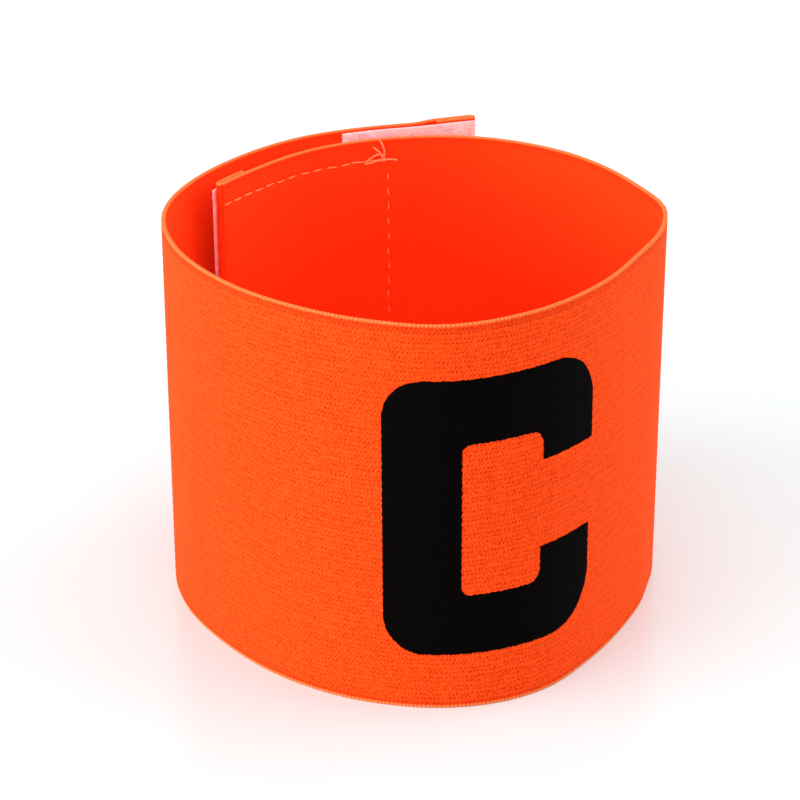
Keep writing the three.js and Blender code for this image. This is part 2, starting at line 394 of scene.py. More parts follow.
# %% [markdown]
# ## The letter
#
# The letter is printed: a thin film of ink that has sunk into the ribs. Its outline is a
# plain block form with rounded corners. The C is really a bent bar, so its film is a grid
# with one side on the outer outline and the other on the inner one. Ink creeps along the
# yarn, so the outline is a little uneven, at the scale of the ribs.

# %% The outline of the block letter, as shares of its height
LETTER_HEIGHT = BAND_HEIGHT - 2 * LETTER_MARGIN
GLYPH = dict(
    width=0.8, stem=0.26, arm=0.23, foot=0.22, jaw=0.337, chin=0.347, jaw_width=0.246,
    stem_corner=0.14, jaw_corner=0.19, stem_counter=0.03, jaw_counter=0.05,
)
FILM, EDGE_FILM = 0.14, 0.35  # the ink's thickness, and the share of it left at its edge
FILM_COLUMNS = 31  # points across the bar of the letter
CREEP, SAG = (0.04, 0.05), (0.06, 0.04)  # how far the ink strays along the cloth and up it
PRINT_DRIFT = (-0.42, 0.35)  # how far the print sits off the middle of the strip
CHIN_PULL = 0.55  # how far the lower jaw lies back of the regular form


def rounded_path(corners, radii, steps):
    """Points along a bent line: straight between corners, with a quarter circle of its own
    radius in each corner, and steps points to each straight stretch and each circle."""
    path = []
    for k, (corner, radius) in enumerate(zip(corners, radii)):
        if radius == 0:
            path.append(corner[None])
            continue
        before, after = corners[k - 1] - corner, corners[k + 1] - corner
        before, after = before / np.linalg.norm(before), after / np.linalg.norm(after)
        turn = np.radians(np.linspace(0, 90, steps[1]))[:, None]
        centre = corner + radius * (before + after)
        path.append(centre - radius * (np.cos(turn) * after + np.sin(turn) * before))
    joined = [path[0]]
    for stretch, count in zip(path[1:], steps[0]):
        share = np.linspace(0, 1, count)[1:-1, None]
        joined += [joined[-1][-1] + share * (stretch[0] - joined[-1][-1]), stretch]
    return np.vstack(joined)


def letter_piece():
    """The film: the grid between the outer and the inner outline, bent round the strip's
    line, on the ribs for the back and a film's thickness above them for the front. The pull
    grows evenly to 1, from the stem to the jaw and from the middle down to the mouth."""
    g = {key: share * LETTER_HEIGHT for key, share in GLYPH.items()}
    right, top = g["width"] / 2, LETTER_HEIGHT / 2
    left, mouth, chin = -right, top - g["jaw"], g["chin"] - top
    inner_right, inner_left, inner_top = right - g["jaw_width"], left + g["stem"], top - g["arm"]
    inner_bottom = g["foot"] - top
    outer = [(right, mouth), (right, top), (left, top), (left, -top), (right, -top), (right, chin)]
    inner = [(inner_right, mouth), (inner_right, inner_top), (inner_left, inner_top),
             (inner_left, inner_bottom), (inner_right, inner_bottom), (inner_right, chin)]
    steps = ((24, 56, 90, 56, 24), 14)
    outer = rounded_path(np.array(outer), (0, g["jaw_corner"], g["stem_corner"],
                                           g["stem_corner"], g["jaw_corner"], 0), steps)
    inner = rounded_path(np.array(inner), (0, g["jaw_counter"], g["stem_counter"],
                                           g["stem_counter"], g["jaw_counter"], 0), steps)
    share = np.linspace(0, 1, FILM_COLUMNS)[None, :, None]
    flat = outer[:, None] * (1 - share) + inner[:, None] * share
    x, z = flat[..., 0], flat[..., 1]
    pull = np.clip(0.5 + x / inner_right / 2, 0, 1) * np.clip(z / chin, 0, 1)
    x, z = x + PRINT_DRIFT[0] - CHIN_PULL * pull, z + BAND_HEIGHT / 2 + PRINT_DRIFT[1]
    creep = CREEP[0] * np.sin(2 * np.pi * z / RIB_PITCH + 0.7) + CREEP[1] * np.sin(5.1 * z + 2 * x)
    sag = SAG[0] * np.sin(6.2 * x + z) + SAG[1] * np.sin(2.3 * x)
    along, up = STRIP_END / 2 - (x + creep), z + sag

    rows, columns = x.shape
    surface = CLOTH / 2 - RIB_RELIEF * rib_valley(up)
    edge = np.minimum(np.arange(columns), np.arange(columns)[::-1])[None]
    bulge = np.clip(edge / 1.5, 0, 1)
    front = on_cloth(along, up, surface + FILM * (EDGE_FILM + (1 - EDGE_FILM) * bulge))
    under = on_cloth(along, up, surface + 0.01)
    index = np.arange(rows * columns).reshape(rows, columns)
    rim = np.concatenate([index[0], index[1:, -1], index[-1, -2::-1], index[-2:0:-1, 0]])
    nxt = np.roll(rim, -1)
    wall = np.column_stack([rim, nxt, nxt + rows * columns, rim + rows * columns])
    sheet = grid_faces(rows, columns)
    faces = [sheet, sheet[:, ::-1] + rows * columns, wall[:, ::-1]]
    knit = np.stack([along, up, np.ones_like(up)], -1).reshape(-1, 3)
    points = np.vstack([front.reshape(-1, 3), under.reshape(-1, 3)])
    return points, faces, {"knit": np.vstack([knit, knit])}


letter = add_piece("printed_letter", *letter_piece())

# %% [markdown]
# ## The tapes
#
# A fastening tape is a woven backing with something standing on it: on one tape thin plastic
# hooks, on the other a pile of soft loops. The backing is a flat bar with rounded edges.
# The hooks and the loops are small bent wires, the same few points over and over, so they
# are made together as one array and bent round the strip's line at once.


# %% The woven backings
BAR_LEVELS, BAR_ROUND, CUT_END = 41, 0.42, 0.55  # points up a side, and shares of the thickness


def bar_piece(along, middle, low, high, thickness):
    """A flat bar: its section's outline is a rectangle with rounded corners, carried through
    the stations along, with middle as its distance outward."""
    bend = np.radians(np.linspace(0, 90, 4))
    radius = thickness * BAR_ROUND
    corner = np.column_stack([np.sin(bend), 1 - np.cos(bend)]) * radius
    levels = np.linspace(low + 2 * radius, high - 2 * radius, BAR_LEVELS)
    side = np.vstack([
        corner * (1, 1) + (thickness / 2 - radius, low),
        np.column_stack([np.full(BAR_LEVELS, thickness / 2), levels]),
        (corner * (1, -1) + (thickness / 2 - radius, high))[::-1],
    ])
    section = np.vstack([side, side[::-1] * (-1, 1)])
    ends = np.ones(len(along))
    ends[[0, -1]] = CUT_END
    out = middle[:, None] + section[:, 0] * ends[:, None]
    grid = on_cloth(along[:, None], section[:, 1][None], out)
    rows, columns = grid.shape[:2]
    near = np.arange(columns // 2 - 1)
    cap = np.column_stack([near, near + 1, columns - 2 - near, columns - 1 - near])
    faces = [grid_faces(rows, columns, around=True), cap[:, ::-1], cap + (rows - 1) * columns]
    weave = np.broadcast_arrays(along[:, None], section[:, 1][None], out)
    return grid.reshape(-1, 3), faces, {"weave": np.stack(weave, -1).reshape(-1, 3)}


BACKING = 0.55
TRIM = 0.25  # how much narrower the woven backing is than its solid, at either edge
TAPE_SEAT = CLOTH / 2 + 0.05
loop_stations = np.r_[-LOOP_TAPE_OVERHANG, spread(0, LOOP_TAPE_LENGTH - 0.2, 0.8), LOOP_TAPE_LENGTH]
hook_stations = STRIP_END - np.r_[HOOK_TAPE_LENGTH, spread(HOOK_TAPE_LENGTH - 0.2, 0.2, 0.8), 0]


def loop_tape_seat(along):
    """How far out the loop tape's backing starts: on the hem near the end, then down a smooth
    step onto the single layer."""
    return TAPE_SEAT + climb(HEM_LENGTH + SEAT_GAP - along + HEM_RAMP, HEM_RAMP)


loop_backing = bar_piece(
    loop_stations, loop_tape_seat(loop_stations) + BACKING / 2,
    LOOP_TAPE_MARGIN, BAND_HEIGHT - LOOP_TAPE_MARGIN, BACKING,
)
hook_backing = bar_piece(
    hook_stations, np.full(len(hook_stations), -TAPE_SEAT - BACKING / 2),
    HOOK_TAPE_MARGIN + TRIM, BAND_HEIGHT - HOOK_TAPE_MARGIN - TRIM, BACKING,
)
loop_tape = add_piece("loop_tape_backing", *loop_backing)
hook_tape = add_piece("hook_tape_backing", *hook_backing)


# %% Bent wires, many at a time
WIRE_SIDES, THREAD_SIDES = 5, 6


def wires(paths, across, radius, sides):
    """Round tubes: paths is wires x points x 3 on the flat cloth (along, up, out), and across
    is a direction square to each path's plane. A ring of sides points stands round every
    path point, on the across direction and the direction square to it and to the path."""
    ahead = np.gradient(paths, axis=1)
    ahead /= np.linalg.norm(ahead, axis=2, keepdims=True)
    across = np.broadcast_to(across, paths.shape)
    square = np.cross(ahead, across)
    square /= np.linalg.norm(square, axis=2, keepdims=True)
    turn = 2 * np.pi * np.arange(sides) / sides
    radius = np.broadcast_to(radius, paths.shape[:2])[..., None, None]
    ring = np.cos(turn)[:, None] * across[:, :, None] + np.sin(turn)[:, None] * square[:, :, None]
    flat = paths[:, :, None] + radius * ring
    points = on_cloth(flat[..., 0], flat[..., 1], flat[..., 2]).reshape(-1, 3)
    count, steps = paths.shape[:2]
    starts = np.arange(count)[:, None, None] * steps * sides
    tube = (grid_faces(steps, sides, around=True)[None] + starts).reshape(-1, 4)
    first = np.arange(sides)[None] + starts[:, :, 0]
    caps = [first[:, ::-1], first + (steps - 1) * sides]
    lengths_along = np.r_[0, np.cumsum(np.linalg.norm(np.diff(paths[0], axis=0), axis=1))]
    yarn = np.broadcast_arrays(lengths_along[None, :, None], turn / (2 * np.pi), starts / sides)
    return points, [tube[:, ::-1], *(c[:, ::-1] for c in caps)], {
        "yarn": np.stack(yarn, -1).reshape(-1, 3)}


# %% The hooks
rng = np.random.default_rng(7)
HOOK_WIRE, HOOK_PITCH, HOOK_HEIGHT, HOOK_BEND = 0.085, (1.15, 1.3), 0.78, 0.26


def places_on_tape(start, end, low, high, pitch, clear=0.7):
    """Staggered places on a tape, a little uneven, with the seams left free."""
    a, u = np.meshgrid(np.arange(start, end, pitch[0]), np.arange(low, high, pitch[1]), indexing="ij")
    u = u + (np.arange(a.shape[0]) % 2)[:, None] * pitch[1] / 2
    a, u = (x.ravel() + rng.uniform(-0.12, 0.12, x.size) for x in (a, u))
    keep = seam_groove(a, u) < GROOVE_DEPTH * math.exp(-((clear / GROOVE_WIDTH) ** 2))
    return a[keep], u[keep]


def hook_pieces():
    """Hooks: a short stem, then two thirds of a circle over to one side, each with its own
    lean, every other one turned the other way."""
    a, u = places_on_tape(STRIP_END - HOOK_TAPE_LENGTH + 0.8, STRIP_END - 0.6,
                          HOOK_TAPE_MARGIN + 1.2, BAND_HEIGHT - HOOK_TAPE_MARGIN - 1.2, HOOK_PITCH)
    turn = np.radians(np.linspace(180, -50, 7))
    stem = HOOK_HEIGHT - HOOK_BEND
    crook = HOOK_BEND * np.column_stack([1 + np.cos(turn), np.sin(turn)]) + (0, stem)
    shape = np.vstack([[(0, 0.0), (0, stem * 0.6)], crook])
    way = np.where(rng.random(len(a)) < 0.5, 1, -1)
    lean = rng.normal(0, 0.12, len(a))
    tall = rng.uniform(0.85, 1.05, len(a))
    side = way[:, None] * shape[:, 0] + lean[:, None] * shape[:, 1]
    out = -(TAPE_SEAT + BACKING * 0.8) - tall[:, None] * shape[:, 1]
    paths = np.stack([a[:, None] + side, np.broadcast_to(u[:, None], side.shape), out], -1)
    return wires(paths, (0.0, 1.0, 0.0), HOOK_WIRE, WIRE_SIDES)


hooks = add_piece("hook_tape_hooks", *hook_pieces())

# %% The pile of loops
PILE_WIRE, PILE_PITCH, PILE_HEIGHT = 0.07, (1.0, 1.05), 0.72


def pile_pieces():
    """Loops of soft yarn: half an ellipse each, leaning and turned at random."""
    a, u = places_on_tape(0.6, LOOP_TAPE_LENGTH - 0.4, LOOP_TAPE_MARGIN + 1.0,
                          BAND_HEIGHT - LOOP_TAPE_MARGIN - 1.0, PILE_PITCH, clear=0.5)
    turn = np.radians(np.linspace(0, 180, 7))
    heading = rng.uniform(0, np.pi, len(a))[:, None]
    wide = rng.uniform(0.35, 0.6, len(a))[:, None] * np.cos(turn)
    tall = rng.uniform(0.6, 1.0, len(a))[:, None] * np.sin(turn) * PILE_HEIGHT
    lean = rng.normal(0, 0.35, len(a))[:, None] * tall
    side = wide * np.cos(heading) - lean * np.sin(heading)
    rise = wide * np.sin(heading) + lean * np.cos(heading)
    seat = loop_tape_seat(a)[:, None] + BACKING * 0.85
    paths = np.stack([a[:, None] + side, u[:, None] + rise, seat + tall], -1)
    across = np.stack([-np.sin(heading[:, 0]), np.cos(heading[:, 0]), np.zeros(len(a))], -1)
    return wires(paths, across[:, None], PILE_WIRE, WIRE_SIDES)


pile = add_piece("loop_tape_pile", *pile_pieces())

# %% [markdown]
# ## The stitches
#
# A lockstitch shows as short dashes of thread with a gap between, the same on both faces,
# but the under thread, off the machine's bobbin, is pink like the tapes.
# Each dash leaves its needle hole high and thick, lies in the groove, and thins out where
# the next hole pulls it down again. At the far corner of the loop tape's seam the row runs
# double for three stitches, so that it can't open, and the thread's ends were never trimmed.

# %% Rows and columns of stitches
STITCH, STITCH_PITCH, THREAD = 2.45, 3.0, 0.17
SUNK = 0.3  # how far below the surface a dash starts and ends
COLUMN_SINK = 0.1  # a column runs across the ribs and pulls deeper into them


def dash_shape():
    """Share of the length, height and thickness along one dash: it climbs in the first
    fifth, then sinks in a slow curve, and its thickness falls to a half."""
    t = np.linspace(0, 1, 9)
    height = np.sin(np.pi * t**0.5) ** 0.5
    return t, (height - 1) * SUNK, THREAD * (1 - 0.5 * t)


def dashes(starts, across, surface, side, upright):
    """The paths of a row of dashes: starts are their places along it, across is the level of
    a row or the length along of a column, and surface gives the cloth's face there."""
    t, height, _ = dash_shape()
    run = starts[:, None] + t * STITCH * rng.uniform(0.9, 1.05, len(starts))[:, None]
    beside = across + rng.normal(0, 0.06, len(starts))[:, None]
    beside = beside + 0.07 * np.sin(3 * t + starts[:, None])
    along, up = (beside, run) if upright else (run, beside)
    along, up = np.broadcast_arrays(along, up)
    out = side * (surface(along) - GROOVE_DEPTH + THREAD * 0.5 + height - COLUMN_SINK * upright)
    return np.stack([along, up, out], -1)


def seam_paths(seam, levels, surface, side, columns):
    """All the dashes of one rectangular seam, and the sideways direction of each."""
    rows = np.arange(seam[0] + 0.1, seam[1] - STITCH, STITCH_PITCH)
    stack = np.arange(levels[0] + 0.3, levels[1] - STITCH, STITCH_PITCH)
    paths = [dashes(rows, level, surface, side, False) for level in levels]
    across = [np.tile((0.0, 1.0, 0.0), (len(rows), 1))] * 2
    paths += [dashes(stack, seam[k], surface, side, True) for k in columns]
    across += [np.tile((1.0, 0.0, 0.0), (len(stack), 1))] * len(columns)
    return np.concatenate(paths), np.concatenate(across)


def stitch_piece(name, *seams):
    """Several seams' dashes in one mesh."""
    paths, across = (np.concatenate([seam[k] for seam in seams]) for k in (0, 1))
    thickness = dash_shape()[2]
    return add_piece(name, *wires(paths, across[:, None], thickness, THREAD_SIDES))


def cloth_face(along):
    """How far out the cloth's own face is, over the flap's hem too."""
    return CLOTH / 2 - RIB_RELIEF / 2 + climb(along, FLAP_HEM) * (along > STRIP_END / 2)


def pile_face(along):
    """How far out the loop tape's woven face is."""
    return loop_tape_seat(along) + BACKING + GROOVE_DEPTH


def hook_face(along):
    """How far in the hook tape's woven face is."""
    return np.full_like(along, TAPE_SEAT + BACKING + GROOVE_DEPTH)


def lock_paths():
    """The second dash laid over each of the last three of the upper row."""
    starts = LOOP_SEAM[1] - STITCH_PITCH * np.array([2.45, 1.5, 0.75])
    paths = dashes(starts, LOOP_LEVELS[1] + 0.12, cloth_face, -1, False)
    return paths, np.tile((0.0, 1.0, 0.0), (len(starts), 1))


loop_stitches = stitch_piece(
    "loop_tape_stitches", seam_paths(LOOP_SEAM, LOOP_LEVELS, cloth_face, -1, (1,)), lock_paths(),
)
hook_stitches = stitch_piece(
    "hook_tape_stitches", seam_paths(HOOK_SEAM, HOOK_LEVELS, cloth_face, 1, (0, 1)),
)
loop_bobbin = stitch_piece(
    "loop_tape_bobbin_stitches", seam_paths(LOOP_SEAM, LOOP_LEVELS, pile_face, 1, (0, 1)),
)
hook_bobbin = stitch_piece(
    "hook_tape_bobbin_stitches", seam_paths(HOOK_SEAM, HOOK_LEVELS, hook_face, -1, (0, 1)),
)

# %% The loose thread ends
# along, up and how far they stand off the inner face, at the far corner of the seam
LOOSE_ENDS = [
    [(38.6, 65.7, 0.05), (39.5, 65.9, 0.25), (40.4, 65.9, 0.3), (41.5, 65.6, 0.15)],
    [(35.4, 65.7, 0.05), (36.6, 66.6, 0.3), (37.9, 67.1, 0.35), (39.0, 66.6, 0.1)],
    [(36.9, 68.5, 0.15), (37.6, 67.9, 0.35), (38.3, 67.1, 0.35), (38.8, 65.8, 0.1)],
    [(38.1, 69.95, 0.1), (38.6, 69.0, 0.2), (39.0, 67.6, 0.25), (39.0, 65.7, 0.05)],
    [(35.1, 65.4, 0.05), (36.4, 65.5, 0.2), (37.6, 65.8, 0.25), (39.2, 65.7, 0.1)],
]
LOOSE_THREAD = 0.19


def loose_end_paths():
    """A smooth curve through each end's four places, the distance off the face turned
    inward from it."""
    curves = np.stack([smooth_curve(np.array(row), 15) for row in LOOSE_ENDS])
    curves[..., 2] = -(CLOTH / 2 + curves[..., 2])
    return curves


loose_threads = wires(loose_end_paths(), (0.0, 0.0, 1.0), LOOSE_THREAD, THREAD_SIDES)
loose_ends = add_piece("loose_thread_ends", *loose_threads)

# %% [markdown]
# ## Colour, and a way to write materials
#
# Colours are picked as the sRGB values that an eye or a screen gives, and one function turns
# them into the linear light that the shader works in. A material is a tree of small nodes,
# and one function adds a node with its settings and what feeds it.


# %% Two helpers for materials
def linear(code):
    """An sRGB hex colour as linear red, green, blue and alpha: the standard's straight foot
    below 0.04045 and its power curve above."""
    share = np.array([int(code[k:k + 2], 16) for k in (0, 2, 4)]) / 255
    light = np.where(share <= 0.04045, share / 12.92, ((share + 0.055) / 1.055) ** 2.4)
    return (*light.tolist(), 1.0)


def add_node(tree, kind, inputs=None, **settings):
    """A node of one kind. inputs maps a socket's name or number to the value it keeps or to
    the socket that feeds it."""
    made = tree.nodes.new(kind)
    for name, value in settings.items():
        setattr(made, name, value)
    for socket, value in (inputs or {}).items():
        if isinstance(value, bpy.types.NodeSocket):
            tree.links.new(value, made.inputs[socket])
        else:
            made.inputs[socket].default_value = value
    return made


def new_material(name, roughness, specular, **more):
    """A material with only a Principled shader, whose even values are set on its sockets."""
    material = bpy.data.materials.new(name)
    material.use_nodes = True
    shader = material.node_tree.nodes["Principled BSDF"]
    shader.inputs["Roughness"].default_value = roughness
    shader.inputs["Specular IOR Level"].default_value = specular
    for socket, value in more.items():
        shader.inputs[socket.replace("_", " ").title()].default_value = value
    return material, material.node_tree, shader


def feed(tree, shader, **sockets):
    """Links sockets to the shader's inputs of those names."""
    for name, socket in sockets.items():
        tree.links.new(socket, shader.inputs[name.replace("_", " ").title()])


def coat(piece, material):
    """Gives a piece its material."""
    piece.data.materials.append(material)
    print(f"{piece.name}: {material.name}, {len(material.node_tree.nodes)} nodes")


# %% [markdown]
# ## The elastic's finish
#
# The strip is knitted from fluorescent orange polyester yarn round rubber threads. Each rib
# is smooth, and between two ribs the yarn runs slanted, 0.68 mm from stitch to stitch, with
# a dark gap at either end: a deeper one just above each rib, a weaker one below the next.
# The knit's own field carries millimetres along the cloth and up it, so the stitches follow
# the strip round its folds. Round a fold they are stretched open. The two woven edges are
# paler, because the yarn turns back there. At the foot, which faces down into shade, the pale
# band is drawn wider as a painted highlight. Dyed polyester is matt, and shines only a little,
# in its own colour, where it is seen at a flat angle. A fluorescent dye also turns some of the
# blue light into red. A faint, even glow stands for that here, but it is painted light: it does
# not follow the lamps, it is brighter on the inner face, and it lifts the shade inside the loop
# so that it stays red and not brown. The inner face is also painted a little redder than the
# outer one, as painted light for the orange that the loop throws back on itself.

# %% The stitches of the knit
STITCH_WIDTH = 0.676
STITCH_SLANT = 0.67 * RIB_PITCH / STITCH_WIDTH
# place from one rib to the next, as a share of the pitch, and how dark a gap may be there
GAP_STOPS = ((0.0, 0.0), (0.1, 0.1), (0.27, 1.0), (0.47, 0.15), (0.72, 0.9), (0.9, 0.1), (1.0, 0.0))
WANDER = (0.7, 0.5)  # millimetres that the stitches stray along and up
REVERSE = 0.3  # how strong the gaps are on the smoother inner face


def calculate(tree, operation, *values):
    """One step of arithmetic on sockets and numbers, as a Math node's output."""
    return add_node(tree, "ShaderNodeMath", dict(enumerate(values)), operation=operation).outputs[0]


def rescale(tree, value, low, high, to_low=0.0, to_high=1.0, shape="LINEAR"):
    """The value from low to high, moved to to_low to to_high and held there beyond."""
    span = {"Value": value, "From Min": low, "From Max": high, "To Min": to_low, "To Max": to_high}
    return add_node(tree, "ShaderNodeMapRange", span, interpolation_type=shape).outputs[0]


def blend(tree, factor, first, second):
    """A mix of two colours, each a hex code or a socket."""
    ends = {k: linear(v) if isinstance(v, str) else v for k, v in (("A", first), ("B", second))}
    mixed = add_node(tree, "ShaderNodeMix", {}, data_type="RGBA")
    for socket, value in (("Factor", factor), *ends.items()):
        chosen = [i for i in mixed.inputs if i.name == socket and i.enabled][0]
        if isinstance(value, bpy.types.NodeSocket):
            tree.links.new(value, chosen)
        else:
            chosen.default_value = value
    return [o for o in mixed.outputs if o.enabled][0]


def wave(tree, turns):
    """The cosine of a number of whole turns."""
    return calculate(tree, "COSINE", calculate(tree, "MULTIPLY", turns, 2 * math.pi))


def knit_places(tree):
    """Sockets for the millimetres along and up, the side, -1 on the inner face and 1 on the
    outer, and the turns of the ribs and of the stitches, which noise moves a little."""
    field = add_node(tree, "ShaderNodeAttribute", attribute_name="knit").outputs["Vector"]
    along, up, side = add_node(tree, "ShaderNodeSeparateXYZ", {0: field}).outputs
    place = add_node(tree, "ShaderNodeTexCoord").outputs["Object"]
    sway = add_node(tree, "ShaderNodeTexNoise", {"Vector": place, "Scale": 420.0})
    moves = add_node(tree, "ShaderNodeSeparateXYZ", {0: sway.outputs["Color"]}).outputs
    up_moved = calculate(tree, "MULTIPLY_ADD", moves[0], WANDER[1], up)
    along_moved = calculate(tree, "MULTIPLY_ADD", moves[1], WANDER[0], along)
    rib = calculate(tree, "DIVIDE", up_moved, RIB_PITCH)
    return along, up, side, rib, calculate(tree, "DIVIDE", along_moved, STITCH_WIDTH)


def knit_gaps(tree, rib, stitch):
    """The share of a dark gap: how near the slanted line between two stitches is, times what
    the place between two ribs allows."""
    slanted = wave(tree, calculate(tree, "MULTIPLY_ADD", rib, STITCH_SLANT, stitch))
    gap = rescale(tree, slanted, -0.3, 0.7, shape="SMOOTHSTEP")
    ramp = add_node(tree, "ShaderNodeValToRGB", {0: calculate(tree, "FRACT", rib)})
    ramp.color_ramp.interpolation = "EASE"
    stops = ramp.color_ramp.elements
    for place, _ in GAP_STOPS[1:-1]:
        stops.new(place)
    for stop, (place, level) in zip(stops, GAP_STOPS):
        stop.position, stop.color = place, (level, level, level, 1.0)
    return calculate(tree, "MULTIPLY", gap, ramp.outputs[0])


# %% Ribbed elastic, knitted from dyed polyester
FOLD_PLACES = [HEM_LENGTH - FOLD_RADIUS + math.pi * FOLD_RADIUS / 2]
FOLD_PLACES.append(cloth_length - FOLD_PLACES[0])


def opened_fold(tree, along, up):
    """Faint rows of small gaps round each fold, 0.6 mm apart round it and 0.7 mm apart up it."""
    near = 0.0
    for place in FOLD_PLACES:
        away = calculate(tree, "ABSOLUTE", calculate(tree, "SUBTRACT", along, place))
        near = calculate(tree, "MAXIMUM", near, rescale(tree, away, 2.7, 1.7, 0.0, 0.9))
    row = rescale(tree, wave(tree, calculate(tree, "DIVIDE", along, 0.6)), 0.2, 1.0)
    step = rescale(tree, wave(tree, calculate(tree, "DIVIDE", up, 0.7)), 0.0, 1.0)
    return calculate(tree, "MULTIPLY", calculate(tree, "MULTIPLY", row, step), near)


def elastic_material():
    material, tree, shader = new_material(
        "knitted_polyester_elastic", 0.75, 0.03, sheen_weight=0.34, sheen_roughness=0.4,
        sheen_tint=linear("FF7B38"), emission_strength=1.0)
    along, up, side, rib, stitch = knit_places(tree)
    place = add_node(tree, "ShaderNodeTexCoord").outputs["Object"]
    grain = add_node(tree, "ShaderNodeTexNoise", {"Vector": place, "Scale": 2800.0, "Detail": 1.0})
    spots = add_node(tree, "ShaderNodeTexNoise", {"Vector": place, "Scale": 700.0, "Detail": 2.0})
    patch = add_node(tree, "ShaderNodeTexNoise", {"Vector": place, "Scale": 70.0, "Detail": 2.0})
    gaps = knit_gaps(tree, rib, stitch)
    gaps = calculate(tree, "MULTIPLY", gaps, rescale(tree, spots.outputs[0], 0.36, 0.6, 0.45, 1.0))
    gaps = calculate(tree, "MULTIPLY", gaps, rescale(tree, side, -1.0, 1.0, REVERSE, 1.0))
    gaps = calculate(tree, "MAXIMUM", gaps, opened_fold(tree, along, up))

    from_edge = calculate(tree, "SUBTRACT", up, BAND_HEIGHT / 2)
    from_edge = calculate(tree, "SUBTRACT", BAND_HEIGHT / 2, calculate(tree, "ABSOLUTE", from_edge))
    selvedge_and_foot_highlight = rescale(tree, from_edge, 0.4, 0.12, shape="SMOOTHSTEP")
    # The pale band reaches higher at the foot: a painted highlight, so the lower edge's pale line
    # shows in its shade.
    selvedge_and_foot_highlight = calculate(tree, "MAXIMUM", selvedge_and_foot_highlight, rescale(tree, up, 0.75, 0.4, shape="SMOOTHSTEP"))
    beside = calculate(tree, "MULTIPLY", rescale(tree, from_edge, 1.7, 1.2),
                       rescale(tree, from_edge, 0.3, 0.7))
    tick = rescale(tree, wave(tree, stitch), 0.1, 1.0)

    outside = rescale(tree, side, -1.0, 1.0)
    grainy = rescale(tree, grain.outputs[0], 0.4, 0.65)
    face = blend(tree, grainy, blend(tree, patch.outputs[0], "EE4510", "F44A13"), "CC330A")
    # Painted light: the inner face is redder and brighter than the outer one, for the orange the loop
    # throws back on itself.
    back = blend(tree, grainy, "FF3A0D", "F4320A")
    yarn = blend(tree, outside, back, face)
    yarn = blend(tree, calculate(tree, "MULTIPLY", beside, 0.4), yarn, "B82807")
    yarn = blend(tree, gaps, yarn, "961600")
    edge = blend(tree, tick, "DC7642", "B65020")
    colour = blend(tree, selvedge_and_foot_highlight, yarn, edge)

    sunk = calculate(tree, "MULTIPLY", tick, selvedge_and_foot_highlight)
    height = calculate(tree, "SUBTRACT", 1.0, calculate(tree, "MAXIMUM", sunk, gaps))
    bump = add_node(tree, "ShaderNodeBump", {"Strength": 0.6, "Distance": 0.07 * MM, "Height": height})
    # Painted glow: an even emission, stronger on the inner face, that lifts the shade inside the loop.
    painted_glow = blend(tree, outside, "540E02", "3C0A01")
    feed(tree, shader, base_color=colour, normal=bump.outputs[0], emission_color=painted_glow)
    return material


coat(band, elastic_material())

# %% [markdown]
# ## The print's finish
#
# Screen-printed ink is matt and nearly black, and takes the relief of the knit under it. It
# reflects very little, so only the edges of the ribs show.

# %% Black screen-printing ink
def ink_material():
    material, tree, shader = new_material("screen_printed_ink", 0.8, 0.02)
    _, _, _, rib, stitch = knit_places(tree)
    place = add_node(tree, "ShaderNodeTexCoord").outputs["Object"]
    grain = add_node(tree, "ShaderNodeTexNoise", {"Vector": place, "Scale": 1500.0, "Detail": 3.0})
    shade = blend(tree, grain.outputs[0], "010101", "060303")
    height = calculate(tree, "MULTIPLY_ADD", knit_gaps(tree, rib, stitch), -0.6, grain.outputs[0])
    bump = add_node(tree, "ShaderNodeBump", {"Strength": 0.5, "Distance": 0.06 * MM, "Height": height})
    feed(tree, shader, base_color=shade, normal=bump.outputs[0])
    return material


coat(letter, ink_material())

# %% [markdown]
# ## The tapes' and the threads' finishes
#
# The backings are woven from pink nylon: the weave is finer than the picture can show, so it
# is drawn at 0.5 mm. The hooks are bare nylon, which shines a little more than the tape.
# The pile is soft brushed nylon, and the sewing thread is spun and twisted.


# %% Woven nylon tape
WEAVE_PITCH = 0.5


def weave_material():
    """A plain weave, mottled with greyish blotches and with whitish ones that are painted glints."""
    material, tree, shader = new_material("woven_nylon_tape", 0.7, 0.15)
    field = add_node(tree, "ShaderNodeAttribute", attribute_name="weave").outputs["Vector"]
    along, up, _ = add_node(tree, "ShaderNodeSeparateXYZ", {0: field}).outputs
    warp = wave(tree, calculate(tree, "DIVIDE", along, WEAVE_PITCH))
    weft = wave(tree, calculate(tree, "DIVIDE", up, WEAVE_PITCH))
    cell = rescale(tree, calculate(tree, "MULTIPLY", warp, weft), -1.0, 1.0)
    place = add_node(tree, "ShaderNodeTexCoord").outputs["Object"]
    grey = add_node(tree, "ShaderNodeTexNoise", {"Vector": place, "Scale": 700.0, "Detail": 2.0})
    white = add_node(tree, "ShaderNodeTexNoise", {"Vector": place, "Scale": 500.0, "W": 3.0},
                     noise_dimensions="4D")
    cloth = blend(tree, cell, "FBB2AE", "FDC2BF")
    marked = blend(tree, rescale(tree, grey.outputs[0], 0.5, 0.66, 0.0, 0.55), cloth, "C898A8")
    # Whitish blotches: painted glints on the tape.
    painted_glints = blend(tree, rescale(tree, white.outputs[0], 0.52, 0.68, 0.0, 0.7), marked, "FFDCDC")
    bump = add_node(tree, "ShaderNodeBump", {"Strength": 0.4, "Distance": 0.05 * MM, "Height": cell})
    feed(tree, shader, base_color=painted_glints, normal=bump.outputs[0])
    return material


